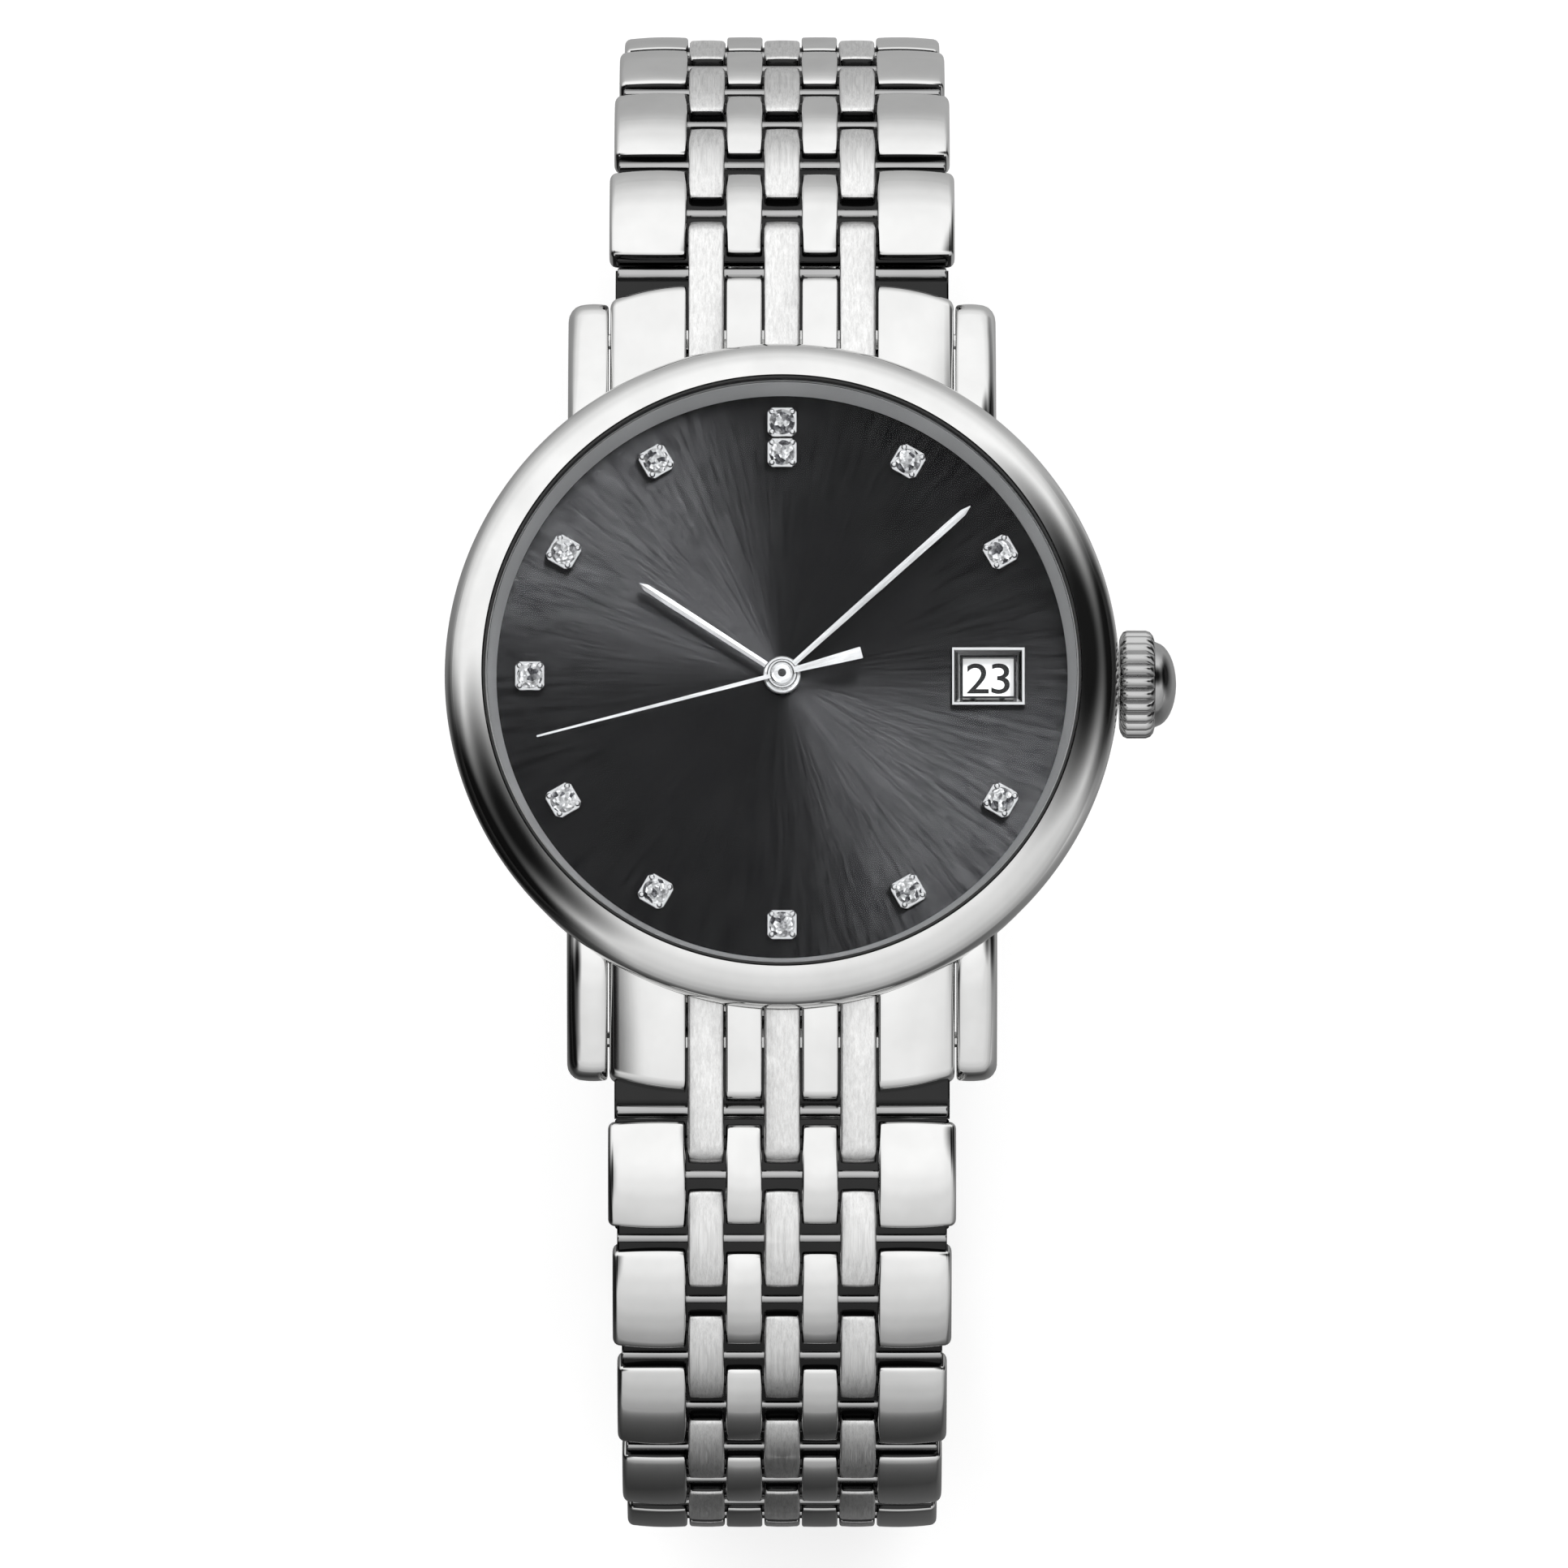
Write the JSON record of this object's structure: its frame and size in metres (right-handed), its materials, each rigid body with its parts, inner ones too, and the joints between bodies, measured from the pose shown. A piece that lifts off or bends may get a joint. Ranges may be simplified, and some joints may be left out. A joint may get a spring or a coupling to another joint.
{
  "type": "wristwatch",
  "caption": "Round automatic dress watch with a black sunray dial, stone hour markers, date window, fluted crown and a closed steel link bracelet.",
  "frame": {"origin": "on the dial axis, at the outer face of the case back", "axes": "+Z out of the dial, +Y to 12 o'clock, +X to the crown"},
  "size_m": [0.0374, 0.0788, 0.042],
  "materials": {
    "polished_steel": "mirror-polished stainless steel",
    "bracelet_steel": "stainless steel, polished on the outer and narrow links and brushed lengthways on the three inner columns",
    "polished_hand": "polished rhodium plating",
    "sunray_dial": "black lacquer over sunray brushing",
    "date_enamel": "matt white with black numerals",
    "sapphire": "clear, anti-reflective",
    "nylon": "moulded",
    "rubber": "matt",
    "rhodium": "rhodium-plated brass with circular graining",
    "brass": "gilt"
  },
  "bodies": {
    "case": {"mid_case": "polished_steel", "bezel": "polished_steel", "crystal": "sapphire", "crystal_gasket": "nylon", "rehaut_ring": "polished_steel", "dial": "sunray_dial", "date_frame": "polished_steel", "movement_holder": "nylon", "main_plate": "rhodium", "automatic_bridge": "rhodium", "mainspring_barrel": "brass", "crown_tube": "polished_steel", "case_back_ring": "polished_steel", "case_back_crystal": "sapphire", "case_back_gasket": "rubber", "spring_bar_12": "polished_steel", "spring_bar_6": "polished_steel", "end_link_12": "bracelet_steel", "end_link_6": "bracelet_steel"},
    "hour_hand": {"hour_hand": "polished_hand"},
    "minute_hand": {"minute_hand": "polished_hand"},
    "seconds_hand": {"seconds_hand": "polished_hand"},
    "date_disc": {"date_disc": "date_enamel"},
    "balance_wheel": {"balance_wheel": "brass"},
    "rotor": {"rotor": "rhodium"},
    "stem_slide": {"setting_lever": "rhodium"},
    "crown": {"crown": "polished_steel", "winding_stem": "rhodium"},
    "clasp_inner_blade": {"clasp_inner_blade": "polished_steel"},
    "clasp_middle_blade": {"clasp_middle_blade": "polished_steel"},
    "clasp_cover": {"clasp_cover": "polished_steel"},
    "clasp_button_left": {"clasp_button_left": "polished_steel"},
    "clasp_button_right": {"clasp_button_right": "polished_steel"},
    "links_12_01": {"links_12_01": "bracelet_steel"},
    "links_12_02": {"links_12_02": "bracelet_steel"},
    "links_12_03": {"links_12_03": "bracelet_steel"},
    "links_12_04": {"links_12_04": "bracelet_steel"},
    "links_12_05": {"links_12_05": "bracelet_steel"},
    "links_12_06": {"links_12_06": "bracelet_steel"},
    "links_12_07": {"links_12_07": "bracelet_steel"},
    "links_12_08": {"links_12_08": "bracelet_steel"},
    "links_12_09": {"links_12_09": "bracelet_steel"},
    "links_12_10": {"links_12_10": "bracelet_steel"},
    "links_12_11": {"links_12_11": "bracelet_steel"},
    "links_12_12_13": {"links_12_12_13": "bracelet_steel"},
    "links_12_14_15": {"links_12_14_15": "bracelet_steel"},
    "links_6_01": {"links_6_01": "bracelet_steel"},
    "links_6_02": {"links_6_02": "bracelet_steel"},
    "links_6_03": {"links_6_03": "bracelet_steel"},
    "links_6_04": {"links_6_04": "bracelet_steel"},
    "links_6_05": {"links_6_05": "bracelet_steel"},
    "links_6_06": {"links_6_06": "bracelet_steel"},
    "links_6_07": {"links_6_07": "bracelet_steel"},
    "links_6_08": {"links_6_08": "bracelet_steel"},
    "links_6_09": {"links_6_09": "bracelet_steel"},
    "links_6_10": {"links_6_10": "bracelet_steel"},
    "links_6_11": {"links_6_11": "bracelet_steel"},
    "links_6_12": {"links_6_12": "bracelet_steel"},
    "links_6_13_14": {"links_6_13_14": "bracelet_steel"},
    "links_6_15_16": {"links_6_15_16": "bracelet_steel"}
  },
  "joints": [
    {"name": "seconds_hand_turn", "type": "hinge", "parent": "case", "child": "seconds_hand", "pos_m": [0, 0, 0.0072], "axis": [0, 0, -1], "continuous": true},
    {"name": "minute_hand_turn", "type": "hinge", "parent": "case", "child": "minute_hand", "pos_m": [0, 0, 0.0069], "axis": [0, 0, -1], "continuous": true},
    {"name": "hour_hand_turn", "type": "hinge", "parent": "case", "child": "hour_hand", "pos_m": [0, 0, 0.0066], "axis": [0, 0, -1], "continuous": true},
    {"name": "date_disc_turn", "type": "hinge", "parent": "case", "child": "date_disc", "pos_m": [0, 0, 0.00545], "axis": [0, 0, -1], "continuous": true},
    {"name": "balance_swing", "type": "hinge", "parent": "case", "child": "balance_wheel", "pos_m": [-0.0026, -0.0064, 0.0035], "axis": [0, 0, 1], "range_deg": [-270, 270], "stiffness_Nm_per_rad": 0.000001},
    {"name": "rotor_turn", "type": "hinge", "parent": "case", "child": "rotor", "pos_m": [0, 0, 0.0018], "axis": [0, 0, 1], "continuous": true},
    {"name": "crown_pull", "type": "slide", "parent": "case", "child": "stem_slide", "axis": [1, 0, 0], "range_m": [0, 0.0014]},
    {"name": "crown_turn", "type": "hinge", "parent": "stem_slide", "child": "crown", "pos_m": [0.018, 0, 0.00385], "axis": [1, 0, 0], "continuous": true},
    {"name": "links_12_01_hinge", "type": "hinge", "parent": "case", "child": "links_12_01", "pos_m": [0, 0.02345, 0.0019], "axis": [1, 0, 0], "range_deg": [0, 25.3]},
    {"name": "links_12_02_hinge", "type": "hinge", "parent": "links_12_01", "child": "links_12_02", "pos_m": [0, 0.02637, 0.00052], "axis": [1, 0, 0], "range_deg": [0, 8.8]},
    {"name": "links_12_03_hinge", "type": "hinge", "parent": "links_12_02", "child": "links_12_03", "pos_m": [0, 0.02905, -0.00129], "axis": [1, 0, 0], "range_deg": [0, 8.8]},
    {"name": "links_12_04_hinge", "type": "hinge", "parent": "links_12_03", "child": "links_12_04", "pos_m": [0, 0.03141, -0.00349], "axis": [1, 0, 0], "range_deg": [0, 8.7]},
    {"name": "links_12_05_hinge", "type": "hinge", "parent": "links_12_04", "child": "links_12_05", "pos_m": [0, 0.03341, -0.00602], "axis": [1, 0, 0], "range_deg": [0, 8.7]},
    {"name": "links_12_06_hinge", "type": "hinge", "parent": "links_12_05", "child": "links_12_06", "pos_m": [0, 0.035, -0.00884], "axis": [1, 0, 0], "range_deg": [0, 8.7]},
    {"name": "links_12_07_hinge", "type": "hinge", "parent": "links_12_06", "child": "links_12_07", "pos_m": [0, 0.03614, -0.01186], "axis": [1, 0, 0], "range_deg": [0, 8.8]},
    {"name": "links_12_08_hinge", "type": "hinge", "parent": "links_12_07", "child": "links_12_08", "pos_m": [0, 0.03681, -0.01502], "axis": [1, 0, 0], "range_deg": [0, 8.7]},
    {"name": "links_12_09_hinge", "type": "hinge", "parent": "links_12_08", "child": "links_12_09", "pos_m": [0, 0.03699, -0.01824], "axis": [1, 0, 0], "range_deg": [0, 8.7]},
    {"name": "links_12_10_hinge", "type": "hinge", "parent": "links_12_09", "child": "links_12_10", "pos_m": [0, 0.03667, -0.02146], "axis": [1, 0, 0], "range_deg": [0, 13.9]},
    {"name": "links_12_11_hinge", "type": "hinge", "parent": "links_12_10", "child": "links_12_11", "pos_m": [0, 0.03558, -0.0245], "axis": [1, 0, 0], "range_deg": [0, 13.9]},
    {"name": "links_12_12_13_hinge", "type": "hinge", "parent": "links_12_11", "child": "links_12_12_13", "pos_m": [0, 0.03378, -0.02719], "axis": [1, 0, 0], "range_deg": [0, 13.9]},
    {"name": "links_12_14_15_hinge", "type": "hinge", "parent": "links_12_12_13", "child": "links_12_14_15", "pos_m": [0, 0.02855, -0.03089], "axis": [1, 0, 0], "range_deg": [0, 13.9]},
    {"name": "links_6_01_hinge", "type": "hinge", "parent": "case", "child": "links_6_01", "pos_m": [0, -0.02345, 0.0019], "axis": [-1, 0, 0], "range_deg": [0, 13.1]},
    {"name": "links_6_02_hinge", "type": "hinge", "parent": "links_6_01", "child": "links_6_02", "pos_m": [0, -0.0266, 0.00117], "axis": [-1, 0, 0], "range_deg": [0, 9.8]},
    {"name": "links_6_03_hinge", "type": "hinge", "parent": "links_6_02", "child": "links_6_03", "pos_m": [0, -0.02957, -0.00009], "axis": [-1, 0, 0], "range_deg": [0, 9.8]},
    {"name": "links_6_04_hinge", "type": "hinge", "parent": "links_6_03", "child": "links_6_04", "pos_m": [0, -0.03228, -0.00185], "axis": [-1, 0, 0], "range_deg": [0, 9.8]},
    {"name": "links_6_05_hinge", "type": "hinge", "parent": "links_6_04", "child": "links_6_05", "pos_m": [0, -0.03465, -0.00404], "axis": [-1, 0, 0], "range_deg": [0, 9.8]},
    {"name": "links_6_06_hinge", "type": "hinge", "parent": "links_6_05", "child": "links_6_06", "pos_m": [0, -0.03662, -0.0066], "axis": [-1, 0, 0], "range_deg": [0, 9.8]},
    {"name": "links_6_07_hinge", "type": "hinge", "parent": "links_6_06", "child": "links_6_07", "pos_m": [0, -0.03811, -0.00947], "axis": [-1, 0, 0], "range_deg": [0, 9.8]},
    {"name": "links_6_08_hinge", "type": "hinge", "parent": "links_6_07", "child": "links_6_08", "pos_m": [0, -0.03909, -0.01255], "axis": [-1, 0, 0], "range_deg": [0, 9.8]},
    {"name": "links_6_09_hinge", "type": "hinge", "parent": "links_6_08", "child": "links_6_09", "pos_m": [0, -0.03952, -0.01575], "axis": [-1, 0, 0], "range_deg": [0, 9.8]},
    {"name": "links_6_10_hinge", "type": "hinge", "parent": "links_6_09", "child": "links_6_10", "pos_m": [0, -0.0394, -0.01898], "axis": [-1, 0, 0], "range_deg": [0, 12.5]},
    {"name": "links_6_11_hinge", "type": "hinge", "parent": "links_6_10", "child": "links_6_11", "pos_m": [0, -0.03858, -0.0221], "axis": [-1, 0, 0], "range_deg": [0, 12.5]},
    {"name": "links_6_12_hinge", "type": "hinge", "parent": "links_6_11", "child": "links_6_12", "pos_m": [0, -0.0371, -0.02497], "axis": [-1, 0, 0], "range_deg": [0, 12.5]},
    {"name": "links_6_13_14_hinge", "type": "hinge", "parent": "links_6_12", "child": "links_6_13_14", "pos_m": [0, -0.03503, -0.02745], "axis": [-1, 0, 0], "range_deg": [0, 12.5]},
    {"name": "links_6_15_16_hinge", "type": "hinge", "parent": "links_6_13_14", "child": "links_6_15_16", "pos_m": [0, -0.02955, -0.0308], "axis": [-1, 0, 0], "range_deg": [0, 12.5]},
    {"name": "clasp_end_hinge", "type": "hinge", "parent": "links_6_15_16", "child": "clasp_inner_blade", "pos_m": [0, -0.02317, -0.0315], "axis": [-1, 0, 0], "range_deg": [0, 8]},
    {"name": "clasp_fold", "type": "hinge", "parent": "clasp_inner_blade", "child": "clasp_middle_blade", "pos_m": [0, 0.01519, -0.03115], "axis": [1, 0, 0], "range_deg": [0, 150]},
    {"name": "clasp_cover_hinge", "type": "hinge", "parent": "clasp_middle_blade", "child": "clasp_cover", "pos_m": [0, -0.01717, -0.0317], "axis": [-1, 0, 0], "range_deg": [0, 150]},
    {"name": "clasp_button_left_press", "type": "slide", "parent": "clasp_cover", "child": "clasp_button_left", "axis": [1, 0, 0], "range_m": [0, 0.0005], "stiffness_N_per_m": 2000, "springref_m": -0.0005},
    {"name": "clasp_button_right_press", "type": "slide", "parent": "clasp_cover", "child": "clasp_button_right", "axis": [-1, 0, 0], "range_m": [0, 0.0005], "stiffness_N_per_m": 2000, "springref_m": -0.0005}
  ],
  "couplings": [
    {"joint": "clasp_cover_hinge", "follows": "clasp_fold", "ratio": 1}
  ]
}
